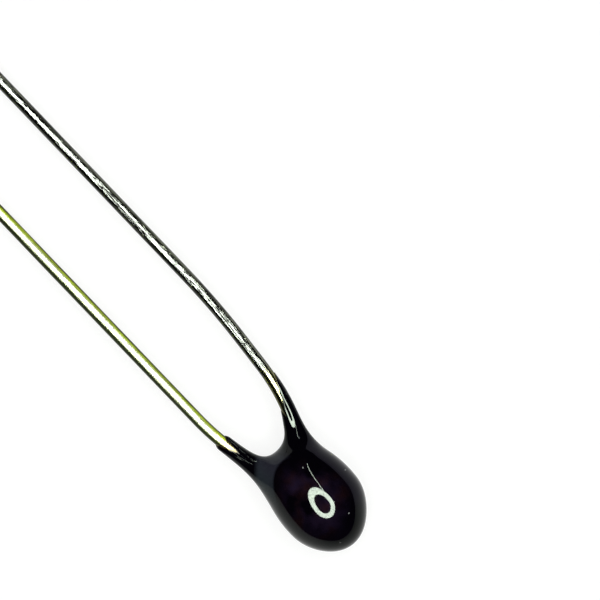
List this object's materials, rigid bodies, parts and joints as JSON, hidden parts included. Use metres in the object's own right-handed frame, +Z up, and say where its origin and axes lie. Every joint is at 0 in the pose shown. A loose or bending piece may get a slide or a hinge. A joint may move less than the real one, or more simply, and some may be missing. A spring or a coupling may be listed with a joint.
{
  "type": "ntc thermistor",
  "caption": "Small epoxy-dipped radial bead thermistor with a glossy black drop-shaped head and round solid wire leads running out side by side.",
  "frame": {"origin": "bottom centre of the bounding box, as the part lies at rest", "axes": "+X from the cut wire ends towards the tip of the bead, +Z up, lead_a on the +Y side"},
  "size_m": [0.0264, 0.0026, 0.0019],
  "materials": {
    "epoxy": "glossy black dipped epoxy",
    "ceramic": "dark sintered oxide ceramic",
    "silver": "fired silver",
    "solder": "satin solder",
    "grey_wire": "bright tinned wire with drawn streaks",
    "olive_wire": "tinned wire with a faint olive tint and drawn streaks"
  },
  "bodies": {
    "root": {"coating": "epoxy", "chip": "ceramic", "electrode_a": "silver", "electrode_b": "silver", "solder_a": "solder", "solder_b": "solder", "lead_a": "grey_wire", "lead_b": "olive_wire"}
  },
  "joints": []
}
